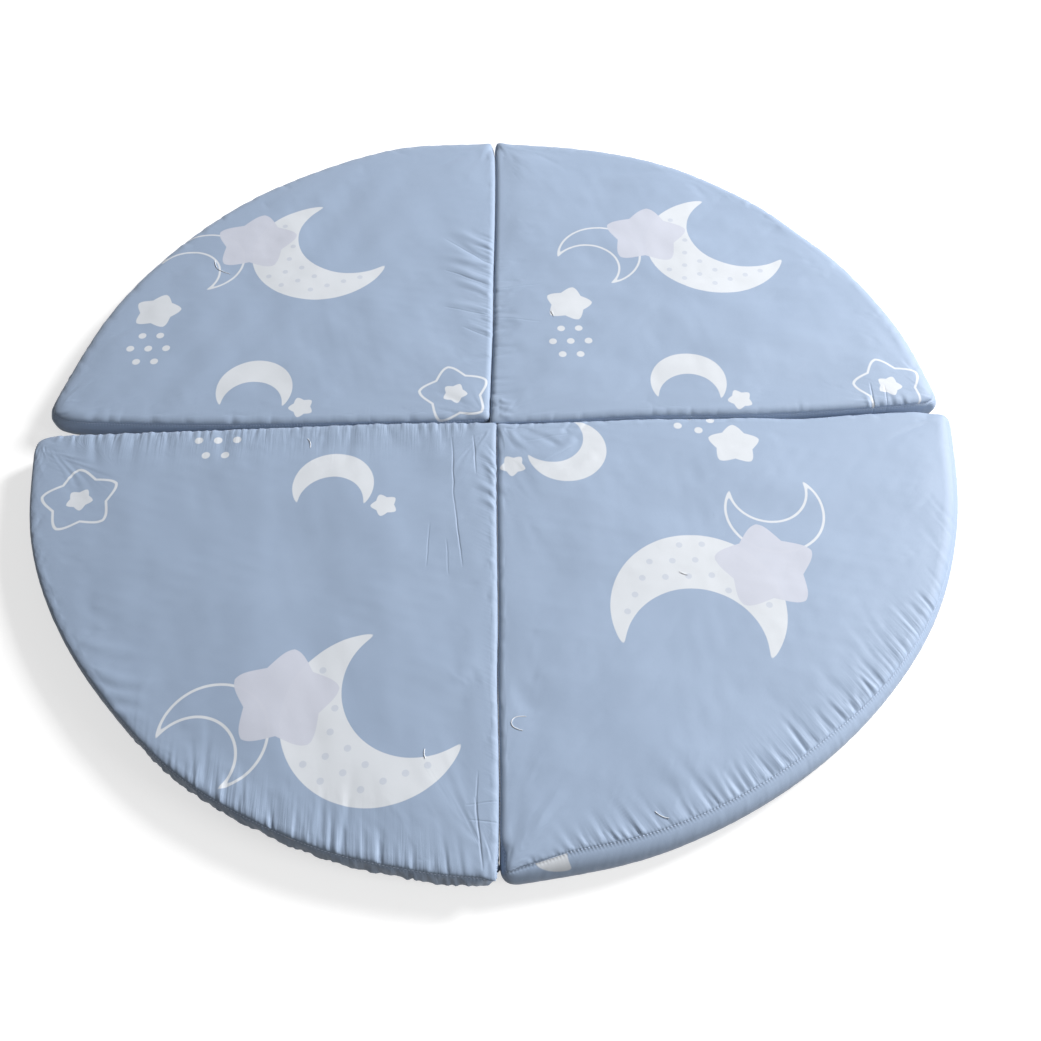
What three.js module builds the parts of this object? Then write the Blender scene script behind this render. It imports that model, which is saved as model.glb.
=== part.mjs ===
// A round folding play mat: four quarter pads of foam in a sewn cotton cover, lying flat.
// Millimetres, +X to the right, +Y to the back, +Z up, with the floor at Z = 0.
import * as THREE from "three";

// Driving sizes
const PAD_HEIGHT = 46; // foam and cover, where the top panel starts to crown
const CROWN = 3; // how much higher the middle of a top panel stands
const INCIRCLE = 269; // from a quarter pad's middle to its sides
const PAD_MIDDLE = 381; // from the mat's middle to a quarter pad's middle

// Section of a pad's side, from the floor up
const FLAT_INSET = 15; // where the underside leaves the floor
const LOWER_SEAM_INSET = 4;
const LOWER_SEAM_HEIGHT = 8;
const BULGE_HEIGHT = 24; // the widest height of the side band
const FULL_TUCK = 16; // a top seam tucked this far in lies on the pad's top
const EDGE_TUCK = 5; // a top seam tucked this little lies at the pad's edge
const TOP_SEAM_DROP = 2; // below the top, for a seam that is tucked fully
const WIDE_SHOULDER = 18; // from the seam to the flat of the top panel
const NARROW_SHOULDER = 8;
const CROWN_RINGS = [
  { inset: 58, rise: 0.45, share: 0.3 },
  { inset: 150, rise: 0.85, share: 0 },
];

// Column spacing round a pad
const PLAIN_STEP = 27;
const CORNER_STEPS = 5;
const FOLD_UNEVENNESS = 0.3;

// The cuts between neighbouring pads, each along a ray from the mat's middle.
// out: distance along the ray; lean: how far the cut's middle lies to the ray's left; gap: its width.
const SPLITS = {
  right: {
    angle: 0,
    rows: [
      { out: 30, lean: -4.5, gap: 0.6 },
      { out: 92, lean: -3.1, gap: 0.6 },
      { out: 150, lean: -0.4, gap: 3.2 },
      { out: 222, lean: 1.6, gap: 3.2 },
      { out: 294, lean: 0.6, gap: 5.2 },
      { out: 367, lean: 0.7, gap: 3.4 },
      { out: 439, lean: 0.1, gap: 10.2 },
      { out: 512, lean: 4.6, gap: 9.2 },
      { out: 586, lean: 9.6, gap: 11.2 },
      { out: 640, lean: 12.6, gap: 15.2 },
    ],
  },
  back: {
    angle: 90,
    rows: [
      { out: 15, lean: 8.8, gap: 0.5 },
      { out: 120, lean: 4.8, gap: 0.5 },
      { out: 205, lean: 2.2, gap: 0.5 },
      { out: 295, lean: 0.8, gap: 0.5 },
      { out: 390, lean: -1.7, gap: 0.5 },
      { out: 490, lean: -3.7, gap: 0.5 },
      { out: 600, lean: -4.2, gap: 0.5 },
      { out: 640, lean: -2.2, gap: 0.5 },
    ],
  },
  left: {
    angle: 180,
    rows: [
      { out: 25, lean: -0.6, gap: 5.2 },
      { out: 67, lean: -0.3, gap: 1.8 },
      { out: 140, lean: -0.3, gap: 0.5 },
      { out: 210, lean: 0.2, gap: 1.6 },
      { out: 280, lean: 1.2, gap: 3.6 },
      { out: 355, lean: 2.0, gap: 6.0 },
      { out: 425, lean: 2.0, gap: 10.0 },
      { out: 490, lean: 1.2, gap: 13.5 },
      { out: 560, lean: 0.5, gap: 19.0 },
      { out: 610, lean: -1.3, gap: 23.5 },
      { out: 640, lean: -2.5, gap: 29.0 },
    ],
  },
  front: {
    angle: 270,
    rows: [
      { out: 35, lean: 0.8, gap: 0.5 },
      { out: 140, lean: 0, gap: 0.5 },
      { out: 330, lean: 0, gap: 0.5 },
      { out: 410, lean: -1.8, gap: 0.5 },
      { out: 490, lean: -1.0, gap: 0.5 },
      { out: 565, lean: -1.0, gap: 0.5 },
      { out: 640, lean: -2.8, gap: 0.5 },
    ],
  },
};

// The pads, each from one split counter-clockwise to the next.
// rim: the outer edge's radius by angle; corners: rounding at the mat's middle, the rim's start and its end.
// tucks: how far in the rim's top seam lies, by the share of the rim.
// folds: gathers of the top panel at its seam, by the share of an edge.
const PADS = [
  {
    name: "pad_back_right",
    splits: ["right", "back"],
    rim: [
      { angle: 3, radius: 653 },
      { angle: 15, radius: 651 },
      { angle: 28, radius: 648 },
      { angle: 38, radius: 645 },
      { angle: 48, radius: 651 },
      { angle: 62, radius: 656 },
      { angle: 75, radius: 652 },
      { angle: 87, radius: 650 },
    ],
    corners: { middle: 11, start: 18, end: 15 },
    tucks: [{ at: 0, tuck: 5 }],
    folds: {
      start: [{ from: 0.82, to: 0.97, pitch: 26, depth: 3.0 }],
      rim: [],
      end: [{ from: 0.45, to: 0.97, pitch: 34, depth: 3.0 }],
    },
  },
  {
    name: "pad_back_left",
    splits: ["back", "left"],
    rim: [
      { angle: 93, radius: 653 },
      { angle: 98, radius: 658 },
      { angle: 105, radius: 664 },
      { angle: 116, radius: 658 },
      { angle: 130, radius: 655 },
      { angle: 145, radius: 650 },
      { angle: 160, radius: 650 },
      { angle: 174, radius: 652 },
    ],
    corners: { middle: 10, start: 15, end: 36 },
    tucks: [{ at: 0, tuck: 5 }],
    folds: {
      start: [{ from: 0.04, to: 0.62, pitch: 36, depth: 3.2 }],
      rim: [],
      end: [{ from: 0.02, to: 0.3, pitch: 28, depth: 1.8 }],
    },
  },
  {
    name: "pad_front_left",
    splits: ["left", "front"],
    rim: [
      { angle: 184, radius: 657 },
      { angle: 195, radius: 655 },
      { angle: 207, radius: 650 },
      { angle: 220, radius: 645 },
      { angle: 235, radius: 649 },
      { angle: 250, radius: 651 },
      { angle: 262, radius: 653 },
      { angle: 267, radius: 654 },
    ],
    corners: { middle: 16, start: 30, end: 24 },
    tucks: [{ at: 0, tuck: 5 }],
    folds: {
      start: [{ from: 0.03, to: 0.97, pitch: 27, depth: 3.4 }],
      rim: [
        { from: 0.14, to: 0.3, pitch: 34, depth: 2.4 },
        { from: 0.62, to: 0.97, pitch: 26, depth: 3.4 },
      ],
      end: [],
    },
  },
  {
    name: "pad_front_right",
    splits: ["front", "right"],
    rim: [
      { angle: 273, radius: 651 },
      { angle: 285, radius: 649 },
      { angle: 300, radius: 646 },
      { angle: 315, radius: 648 },
      { angle: 330, radius: 653 },
      { angle: 345, radius: 654 },
      { angle: 357, radius: 657 },
    ],
    corners: { middle: 12, start: 22, end: 20 },
    tucks: [
      { at: 0, tuck: 8 },
      { at: 0.07, tuck: 15 },
      { at: 0.2, tuck: 16 },
      { at: 0.3, tuck: 13 },
      { at: 0.42, tuck: 9 },
      { at: 0.5, tuck: 5 },
    ],
    folds: {
      start: [],
      rim: [{ from: 0.03, to: 0.66, pitch: 26, depth: 3.6 }],
      end: [{ from: 0.72, to: 0.96, pitch: 44, depth: 3.0 }],
    },
  },
];

// How far the top seam lies below the top of a pad: deep where two pads are sewn together, shallow at free edges
const JOINED_SEAM_DROP = 13;
const FREE_SEAM_DROP = 8;
const JOINED_SPLITS = ["back", "front"];

const COVER_COLOUR = 0x9fb1cd;
const COVER_ROUGHNESS = 0.55;

const lerp = THREE.MathUtils.lerp;
const degToRad = THREE.MathUtils.degToRad;

function polar(angle, radius) {
  const a = degToRad(angle);
  return new THREE.Vector2(Math.cos(a) * radius, Math.sin(a) * radius);
}

// The value of a table's column at a place between its rows
function tableValue(rows, key, at, column) {
  const next = rows.findIndex((row) => row[key] >= at);
  if (next === -1) return rows[rows.length - 1][column];
  if (next === 0) return rows[0][column];
  const [a, b] = [rows[next - 1], rows[next]];
  return lerp(a[column], b[column], (at - a[key]) / (b[key] - a[key]));
}

// One side of a split, as points from the mat's middle outwards. side is 1 for the pad to the ray's left, -1 for the other.
function splitPoints(split, side) {
  const ray = polar(split.angle, 1);
  const left = polar(split.angle + 90, 1);
  return split.rows.map(({ out, lean, gap }) =>
    ray
      .clone()
      .multiplyScalar(out)
      .addScaledVector(left, lean + (side * gap) / 2),
  );
}

// Where the lines through a and b, and through c and d, cross
function crossing(a, b, c, d) {
  const [p, q] = [b.clone().sub(a), d.clone().sub(c)];
  const share = c.clone().sub(a).cross(q) / p.cross(q);
  return a.clone().addScaledVector(p, share);
}

// A smooth edge whose two ends are cut back to leave room for the corners
function trimmedEdge(points, startCut, endCut) {
  const whole = new THREE.SplineCurve(points);
  const length = whole.getLength();
  const samples = 24;
  const kept = [];
  for (let i = 0; i <= samples; i++) {
    const at = lerp(startCut / length, 1 - endCut / length, i / samples);
    kept.push(whole.getPointAt(at));
  }
  return new THREE.SplineCurve(kept);
}

// The pad's outline seen from above: three edges and the three rounded corners between them
function outlineOf(pad) {
  const [first, last] = pad.splits.map((name) => SPLITS[name]);
  const start = splitPoints(first, 1);
  const end = splitPoints(last, -1).reverse();
  const rim = pad.rim.map(({ angle, radius }) => polar(angle, radius));
  const [s1, s2] = start.slice(-2);
  const [e1, e2] = end;
  const rimStart = crossing(s1, s2, rim[0], rim[1]);
  const rimEnd = crossing(e1, e2, rim[rim.length - 2], rim[rim.length - 1]);
  const middle = crossing(start[0], start[1], end[end.length - 2], end[end.length - 1]);
  const { corners } = pad;
  const edges = {
    start: trimmedEdge([middle, ...start.slice(1, -1), rimStart], corners.middle, corners.start),
    rim: trimmedEdge([rimStart, ...rim.slice(1, -1), rimEnd], corners.start, corners.end),
    end: trimmedEdge([rimEnd, ...end.slice(1, -1), middle], corners.end, corners.middle),
  };
  const corner = (before, tip, after) =>
    new THREE.QuadraticBezierCurve(before.getPoint(1), tip, after.getPoint(0));
  return [
    { edge: "start", curve: edges.start },
    { edge: "corner", curve: corner(edges.start, rimStart, edges.rim) },
    { edge: "rim", curve: edges.rim },
    { edge: "corner", curve: corner(edges.rim, rimEnd, edges.end) },
    { edge: "end", curve: edges.end },
    { edge: "corner", curve: corner(edges.end, middle, edges.start) },
  ];
}

// How the side of the pad is sewn at a place on one of its edges
function sewing(pad, edge, at) {
  if (edge === "rim")
    return { tuck: tableValue(pad.tucks, "at", at, "tuck"), drop: FREE_SEAM_DROP };
  const joined = JOINED_SPLITS.includes(pad.splits[edge === "start" ? 0 : 1]);
  return { tuck: EDGE_TUCK, drop: joined ? JOINED_SEAM_DROP : FREE_SEAM_DROP };
}

// The columns of one stretch of the outline, closer together where the panel is gathered into folds
function columnsOf(pad, stretches, index) {
  const { edge, curve } = stretches[index];
  if (edge === "corner") {
    const before = sewing(pad, stretches[index - 1].edge, 1);
    const after = sewing(pad, stretches[(index + 1) % stretches.length].edge, 0);
    return Array.from({ length: CORNER_STEPS }, (_, i) => ({
      point: curve.getPointAt(i / CORNER_STEPS),
      tuck: lerp(before.tuck, after.tuck, i / CORNER_STEPS),
      drop: lerp(before.drop, after.drop, i / CORNER_STEPS),
      fold: 0,
    }));
  }
  const length = curve.getLength();
  const columns = [];
  let along = 0;
  for (let i = 0; along < length; i++) {
    const at = along / length;
    const row = pad.folds[edge].find(({ from, to }) => at >= from && at < to);
    const uneven = 1 + FOLD_UNEVENNESS * Math.sin(2.4 * i);
    const valley = row && i % 2 ? row.depth * uneven : 0;
    columns.push({ point: curve.getPointAt(at), ...sewing(pad, edge, at), fold: valley });
    along += row ? (row.pitch / 2) * uneven : PLAIN_STEP;
  }
  return columns;
}

// The pad's section at one column, from the middle of the underside to the middle of the top.
// inset: distance in from the outline; height: above the floor; share of the fold's depth that shows there.
function sectionOf({ tuck, drop }) {
  const tucked = THREE.MathUtils.clamp((tuck - EDGE_TUCK) / (FULL_TUCK - EDGE_TUCK), 0, 1);
  const seam = PAD_HEIGHT - lerp(drop, TOP_SEAM_DROP, tucked);
  const shoulder = lerp(WIDE_SHOULDER, NARROW_SHOULDER, tucked);
  const bend = Math.SQRT1_2; // sine and cosine of the arcs' middle
  const lowerBend = FLAT_INSET - (FLAT_INSET - LOWER_SEAM_INSET) * bend;
  return [
    { inset: INCIRCLE, height: 0, share: 0 },
    { inset: FLAT_INSET, height: 0, share: 0 },
    { inset: lowerBend, height: LOWER_SEAM_HEIGHT * (1 - bend), share: 0 },
    { inset: LOWER_SEAM_INSET, height: LOWER_SEAM_HEIGHT, share: 0 },
    { inset: 0, height: BULGE_HEIGHT, share: 0 },
    { inset: tuck * (1 - bend), height: lerp(BULGE_HEIGHT, seam, bend), share: 0 },
    { inset: tuck, height: seam, share: 0.35 },
    { inset: tuck + shoulder * (1 - bend), height: lerp(seam, PAD_HEIGHT, bend), share: 1 },
    { inset: tuck + shoulder, height: PAD_HEIGHT, share: 0.9 },
    ...CROWN_RINGS.map(({ inset, rise, share }) => ({ inset, height: PAD_HEIGHT + CROWN * rise, share })),
    { inset: INCIRCLE, height: PAD_HEIGHT + CROWN, share: 0 },
  ];
}

function padGeometry(pad) {
  const stretches = outlineOf(pad);
  const columns = stretches.flatMap((_, i) => columnsOf(pad, stretches, i));
  const middle = polar(SPLITS[pad.splits[0]].angle + 45, PAD_MIDDLE);
  const rings = sectionOf(columns[0]).length;
  // A turned solid gives the faces, and each of its points then goes to its place on the pad.
  const profile = Array.from(
    { length: rings },
    (_, i) => new THREE.Vector2(Math.sin((Math.PI * i) / (rings - 1)), i),
  );
  const geometry = new THREE.LatheGeometry(profile, columns.length);
  const position = geometry.getAttribute("position");
  for (let c = 0; c <= columns.length; c++) {
    const column = columns[c % columns.length];
    sectionOf(column).forEach(({ inset, height, share }, r) => {
      const place = middle.clone().lerp(column.point, 1 - inset / INCIRCLE);
      position.setXYZ(c * rings + r, place.x, place.y, height - column.fold * share);
    });
  }
  geometry.deleteAttribute("uv");
  geometry.computeVertexNormals();
  return geometry;
}

const mat = new THREE.Group();
for (const pad of PADS) {
  const material = new THREE.MeshStandardMaterial({
    color: COVER_COLOUR,
    roughness: COVER_ROUGHNESS,
    metalness: 0,
  });
  const mesh = new THREE.Mesh(padGeometry(pad), material);
  mesh.name = pad.name;
  mat.add(mesh);
}

// The mat's own frame starts under the middle of its outline.
const outline = new THREE.Box3().setFromObject(mat);
const centre = outline.getCenter(new THREE.Vector3());
for (const mesh of mat.children) mesh.position.set(-centre.x, -centre.y, 0);

export default mat;
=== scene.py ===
import math

import bmesh
import bpy
import numpy as np
from mathutils import Matrix, Vector


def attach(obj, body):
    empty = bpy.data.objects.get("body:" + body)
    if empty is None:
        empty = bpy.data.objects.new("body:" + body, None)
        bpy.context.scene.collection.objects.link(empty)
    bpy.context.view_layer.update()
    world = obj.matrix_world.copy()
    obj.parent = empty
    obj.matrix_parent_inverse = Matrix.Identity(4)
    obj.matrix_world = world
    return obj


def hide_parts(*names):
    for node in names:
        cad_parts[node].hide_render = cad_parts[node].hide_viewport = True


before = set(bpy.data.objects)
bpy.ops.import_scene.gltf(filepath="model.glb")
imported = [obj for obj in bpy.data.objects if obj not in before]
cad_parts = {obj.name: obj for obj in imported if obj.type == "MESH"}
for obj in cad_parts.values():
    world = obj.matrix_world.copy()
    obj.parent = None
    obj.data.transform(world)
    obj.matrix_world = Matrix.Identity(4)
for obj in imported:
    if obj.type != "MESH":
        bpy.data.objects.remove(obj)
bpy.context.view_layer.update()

# All sizes are in metres. x runs to the right and y to the back.
mat = {
    "middle": (-0.0016, 0.0010),  # where the four pads meet
    "radius": 0.65,
    "padHeight": 0.046,
    "crown": 0.003,
    "incircle": 0.269,  # from a pad's middle to its sides
    "padMiddle": 0.381,  # from the mat's middle to a pad's middle
}

# ---- the pads ----
section = {
    "columns": 1080,  # round a pad
    "undersideRings": 6,
    "lowerShoulderRings": 4,
    "bandRings": 14,
    "shoulderRings": 14,
    "crownRings": 50,
    "crownCrowding": 1.6,  # above 1, the rings lie closer together near the seam
    "outlineBlur": 2.2,  # in columns
    "edgeBlur": 6,  # in columns, where one way of sewing turns into the next
    "flatInset": 0.015,  # where the underside leaves the floor
    "lowerSeamInset": 0.004,
    "lowerSeamHeight": 0.008,
    "bulgeHeight": 0.024,
    "bandSlope": 78,  # degrees from upright, where the band meets its seams
    "seamPinch": 0.0014,
    "seamPinchWidth": 0.0020,
    "lowerPinch": 0.8,  # the lower seam's share of it
    "undersideShare": 0.3,  # how much of the relief the underside keeps
    "pointSpread": 0.010,  # along the seam, each side of a corner's point
    "rimWidth": 0.022,  # what lies this close to the mat's radius is the rim
    "freeRim": 1.6,  # how soon past a corner the rim may swell over its outline
}

# Low relief of the cloth. The waves are rows of size, number and height.
relief = {
    "uneven": ((0.200, 9, 0.00090), (0.075, 12, 0.00035), (0.026, 16, 0.00010)),
    "unevenIn": (0.004, 0.05),  # metres in from the seam, where it sets in
    "ruffle": 0.0016,  # of the side band where its strength is 1
    "ruffleWaves": ((0.026, 10, 0.35), (0.014, 10, 0.60), (0.009, 10, 0.50)),
    "ruffleUpwards": 0.25,  # how much they change up the band, beside along it
    "creaseSway": 0.12,
    "plainShare": 0.8,  # how much of the pleats a plain rim loses
    "cornerShare": 0.85,  # how much of the gathers is lost at a corner
    "cornerSpread": 0.028,
    "endBlur": 5,  # in columns, where gathers begin and end
}

# Pleats at a seam. The pairs are ranges, as shares of the pitch, length or lift of a row.
pleat = {
    "firstAt": (0.2, 0.8),
    "width": (0.16, 0.30),
    "leastWidth": 0.0026,
    "reach": (0.35, 1.3),
    "height": (0.35, 1.2),
    "spacing": (0.6, 1.5),
    "lean": 0.10,
    "bow": 1.2,
    "riseWithin": 0.005,  # metres in from the seam
    "ridge": 0.7,
    "valley": (0.8, 1.2, 0.60),  # depth, and place and width in widths of the ridge
    "leastSlant": 0.35,  # the flattest way that a pleat runs from its seam
}

# How an edge is sewn: how far in the top seam lies, how far below the top, how wide the
# shoulder is, and how much the stitches pull the cloth in.
sewingKeys = ("tuck", "drop", "shoulder", "pinch")
sewing = {
    "joined": (0.0002, 0.0058, 0.0100, 0.1),  # into a groove between the back pads
    "touching": (0.0002, 0.0052, 0.0092, 0.2),  # hinged at the top, between the front pads
    "facingFront": (0.0014, 0.0078, 0.0125, 0.6),
    "facingBack": (0.0006, 0.0070, 0.0130, 0.5),
    "rim": (0.0050, 0.0085, 0.0170, 0.7),
    "highRim": (0.0022, 0.0042, 0.0100, 0.5),
    "rolled": (0.0165, 0.0020, 0.0080, 0.3),  # the band rolls over the edge
}

# angle: of the split that the first edge follows, in degrees.
# edges: how the first split, the rim and the last split are sewn.
# points: how far the top seam's corners stand out, at the rim's start and end and the middle.
# rolled: angles on the rim, and how far the band rolls over there.
# headings: how the finest pleats run from the first and last split, in degrees from x.
# rimHeadings: angles on the rim, and how they run there.
# gathers: edge, from and to (metres out along a split, or degrees of the rim), pitch, length,
# lift, and how they run from the seam.
# fine: the finest pleats, in the material: edge, from, to, strength, length.
# creases: from, to, width, lift, in metres from the mat's middle.
# thin: sharp creases in the material: from, to, width, depth.
# plain: from where to where the rim has hardly any pleats.
# ruffle: from where to where the side band is ruched, and how much.
# printTurn, printShift: how the top panel lies on the printed cloth. bandShift: the band.
# shade: painted light: each pad's cloth colour is darkened by this share, most on the left pads,
# as painted shade of the light from the right and painted sheen of the sateen.
pads = {}
pads["pad_back_right"] = {
    "angle": 0,
    "edges": ("facingFront", "rim", "joined"),
    "points": (0.000, 0.004, 0.003),
    "headings": (90, 2),
    "rimHeadings": ((0, 180), (45, 225), (90, 270)),
    "gathers": (
        ("first", 0.03, 0.52, 0.026, 0.026, 0.0005, 88),
        ("first", 0.54, 0.62, 0.016, 0.034, 0.0013, 92),
        ("rim", 3, 88, 0.03, 0.03, 0.0005, 225),
        ("last", 0.005, 0.05, 0.011, 0.026, 0.0015, -8),
        ("last", 0.02, 0.34, 0.022, 0.046, 0.001, 2),
    ),
    "fine": (
        ("first", 0.01, 0.64, 0.35, 0.018),
        ("last", 0.005, 0.09, 1.0, 0.022),
        ("last", 0.09, 0.36, 0.7, 0.022),
        ("last", 0.36, 0.64, 0.35, 0.012),
        ("rim", 2, 88, 0.25, 0.02),
    ),
    "creases": (
        (0.002, 0.204, 0.054, 0.194, 0.007, 0.001),
        (0.002, 0.266, 0.056, 0.274, 0.008, 0.0009),
        (0.003, 0.152, 0.07, 0.15, 0.011, 0.0008),
        (0.006, 0.036, 0.026, 0.028, 0.0035, 0.0013),
        (0.006, 0.023, 0.03, 0.017, 0.0035, 0.0014),
        (0.006, 0.008, 0.026, 0.004, 0.004, 0.0012),
    ),
    "thin": (
        (0.552, 0.056, 0.551, 0.008, 0.0012, 0.00062),
        (0.573, 0.05, 0.57, 0.006, 0.0012, 0.0005),
        (0.004, 0.204, 0.07, 0.193, 0.0014, 0.00031),
        (0.004, 0.268, 0.076, 0.277, 0.0014, 0.00025),
    ),
    "ruffle": ((0, 90, 0.3),),
    "printTurn": 0,
    "printShift": (0.555, 0.055),
    "bandShift": (0.05, 0.545),
    "paintedLightShade": 0.97,
    "seed": 11,
}
pads["pad_back_left"] = {
    "angle": 90,
    "edges": ("joined", "rim", "facingFront"),
    "points": (0.004, 0.001, 0.003),
    "headings": (158, 90),
    "rimHeadings": ((90, 270), (135, 315), (180, 360)),
    "gathers": (
        ("first", 0.16, 0.4, 0.015, 0.042, 0.0011, 152),
        ("first", 0.38, 0.62, 0.026, 0.02, 0.0006, 175),
        ("rim", 92, 176, 0.03, 0.032, 0.0006, 315),
        ("last", 0.03, 0.62, 0.032, 0.034, 0.0006, 88),
    ),
    "fine": (
        ("first", 0.01, 0.16, 0.5, 0.02),
        ("first", 0.16, 0.38, 1.0, 0.034),
        ("first", 0.38, 0.64, 0.4, 0.012),
        ("rim", 92, 178, 0.35, 0.02),
        ("last", 0.01, 0.64, 0.45, 0.018),
    ),
    "creases": (
        (-0.003, 0.367, -0.07, 0.409, 0.0068, 0.0019),
        (-0.005, 0.331, -0.08, 0.392, 0.006, -0.0018),
        (-0.005, 0.317, -0.078, 0.345, 0.0064, 0.0019),
        (-0.005, 0.285, -0.078, 0.322, 0.0064, 0.002),
        (-0.005, 0.255, -0.064, 0.29, 0.006, 0.0018),
        (-0.005, 0.217, -0.076, 0.238, 0.0065, 0.0017),
        (-0.003, 0.168, -0.046, 0.195, 0.0054, 0.0012),
        (-0.006, 0.122, -0.062, 0.11, 0.0056, -0.0011),
    ),
    "thin": (
        (-0.004, 0.019, -0.05, 0.009, 0.0012, 0.00056),
        (-0.006, 0.325, -0.082, 0.388, 0.0013, 0.0005),
        (-0.006, 0.276, -0.08, 0.312, 0.0013, 0.0005),
        (-0.006, 0.209, -0.078, 0.229, 0.0013, 0.00043),
        (-0.004, 0.16, -0.05, 0.186, 0.0012, 0.00037),
    ),
    "ruffle": ((90, 180, 0.4),),
    "printTurn": 0,
    "printShift": (0.555, 0.055),
    "bandShift": (0.3, 0.545),
    "paintedLightShade": 0.95,
    "seed": 23,
}
pads["pad_front_left"] = {
    "angle": 180,
    "edges": ("facingBack", "highRim", "touching"),
    "points": (0.001, 0.006, 0.004),
    "headings": (272, 150),
    "rimHeadings": ((180, 2), (200, 20), (222, 70), (236, 90), (270, 93)),
    "gathers": (
        ("first", 0.02, 0.63, 0.013, 0.046, 0.0013, 272),
        ("first", 0.02, 0.63, 0.036, 0.095, 0.0012, 274),
        ("rim", 184, 222, 0.022, 0.03, 0.0007, 70),
        ("rim", 226, 269, 0.014, 0.05, 0.0012, 94),
        ("rim", 236, 268, 0.03, 0.08, 0.0012, 92),
        ("last", 0.05, 0.2, 0.018, 0.024, 0.0014, 128),
        ("last", 0.2, 0.62, 0.022, 0.018, 0.0008, 165),
    ),
    "fine": (
        ("first", 0.01, 0.64, 1.5, 0.04),
        ("rim", 182, 222, 0.3, 0.018),
        ("rim", 236, 266, 1.2, 0.03),
        ("last", 0.02, 0.22, 0.9, 0.022),
        ("last", 0.22, 0.64, 0.6, 0.014),
    ),
    "creases": (
        (-0.001, -0.092, -0.024, -0.052, 0.0046, 0.0015),
        (-0.001, -0.112, -0.018, -0.078, 0.0042, 0.0015),
        (-0.001, -0.132, -0.03, -0.112, 0.005, 0.0016),
        (-0.001, -0.156, -0.024, -0.138, 0.0046, 0.0014),
        (-0.522, -0.35, -0.44, -0.371, 0.008, 0.001),
        (-0.496, -0.391, -0.412, -0.411, 0.008, 0.0012),
        (-0.484, -0.419, -0.428, -0.432, 0.007, 0.0011),
        (-0.468, -0.442, -0.424, -0.453, 0.0065, 0.001),
    ),
    "thin": (
        (-0.063, -0.032, -0.058, -0.15, 0.0012, 0.00062),
        (-0.059, -0.138, -0.046, -0.25, 0.0011, 0.00056),
        (-0.032, -0.028, -0.029, -0.098, 0.0012, 0.00062),
        (-0.09, -0.18, -0.094, -0.25, 0.0011, 0.00031),
        (-0.068, -0.205, -0.064, -0.262, 0.0011, 0.00031),
        (-0.026, -0.53, -0.028, -0.584, 0.0011, 0.00037),
        (-0.029, -0.56, -0.02, -0.645, 0.0013, 0.00074),
        (-0.001, -0.566, -0.04, -0.571, 0.0011, 0.00037),
        (-0.001, -0.592, -0.036, -0.588, 0.0011, 0.00043),
    ),
    "plain": (186, 233),
    "ruffle": ((180, 227, 0.12), (227, 270, 1.0)),
    "printTurn": 0,
    "printShift": (0.425, 0.235),
    "bandShift": (0.42, 0.545),
    "paintedLightShade": 0.93,
    "seed": 37,
}
pads["pad_front_right"] = {
    "angle": 270,
    "edges": ("touching", "rim", "facingBack"),
    "points": (0.006, 0.002, 0.004),
    "rolled": (
        (270, 0.3), (273, 0.55), (276, 0.95), (308, 0.95), (318, 0.5), (328, 0.2), (336, 0),
    ),
    "headings": (0, 270),
    "rimHeadings": ((270, 116), (280, 122), (338, 122), (350, 165), (360, 180)),
    "gathers": (
        ("first", 0.02, 0.62, 0.034, 0.022, 0.0006, 0),
        ("rim", 277, 318, 0.014, 0.055, 0.0013, 122),
        ("rim", 318, 343, 0.015, 0.06, 0.0011, 120),
        ("rim", 284, 336, 0.034, 0.09, 0.0009, 121),
        ("rim", 344, 359, 0.024, 0.03, 0.0006, 160),
        ("last", 0.03, 0.14, 0.02, 0.034, 0.001, 235),
        ("last", 0.14, 0.63, 0.028, 0.026, 0.0006, 268),
        ("rim", 271.5, 286, 0.0085, 0.014, 0.0009, 124),
    ),
    "fine": (
        ("first", 0.01, 0.64, 0.3, 0.012),
        ("rim", 276, 296, 0.5, 0.022),
        ("rim", 296, 332, 1.0, 0.034),
        ("last", 0.01, 0.64, 0.4, 0.016),
    ),
    "creases": (
        (0.098, -0.024, 0.034, -0.04, 0.0065, 0.0015),
        (0.112, -0.04, 0.052, -0.086, 0.0075, 0.0016),
        (0.088, -0.05, 0.036, -0.02, 0.0055, -0.0011),
        (0.02, -0.022, 0.046, -0.062, 0.0055, 0.0011),
        (0.14, -0.07, 0.07, -0.13, 0.01, 0.0009),
    ),
    "thin": (
        (0.104, -0.03, 0.04, -0.042, 0.0017, 0.00031),
        (0.118, -0.046, 0.056, -0.09, 0.0017, 0.00031),
    ),
    "plain": (332, 362),
    "ruffle": ((270, 360, 0.1),),
    "printTurn": 135,
    "printShift": (0.228, 0.008),
    "bandShift": (0.47, 0.539),
    "paintedLightShade": 0.98,
    "seed": 41,
}


def newMesh(bm, name):
    mesh = bpy.data.meshes.new(name)
    bm.to_mesh(mesh)
    bm.free()
    return mesh


def newObject(name, data):
    thing = bpy.data.objects.new(name, data)
    bpy.context.scene.collection.objects.link(thing)
    return thing


def placesOf(mesh):
    places = np.zeros(len(mesh.vertices) * 3, np.float32)
    mesh.vertices.foreach_get("co", places)
    return places.reshape(-1, 3)


def softStep(low, high, value):
    t = np.clip((value - low) / (high - low), 0, 1)
    return t * t * (3 - 2 * t)


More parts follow.
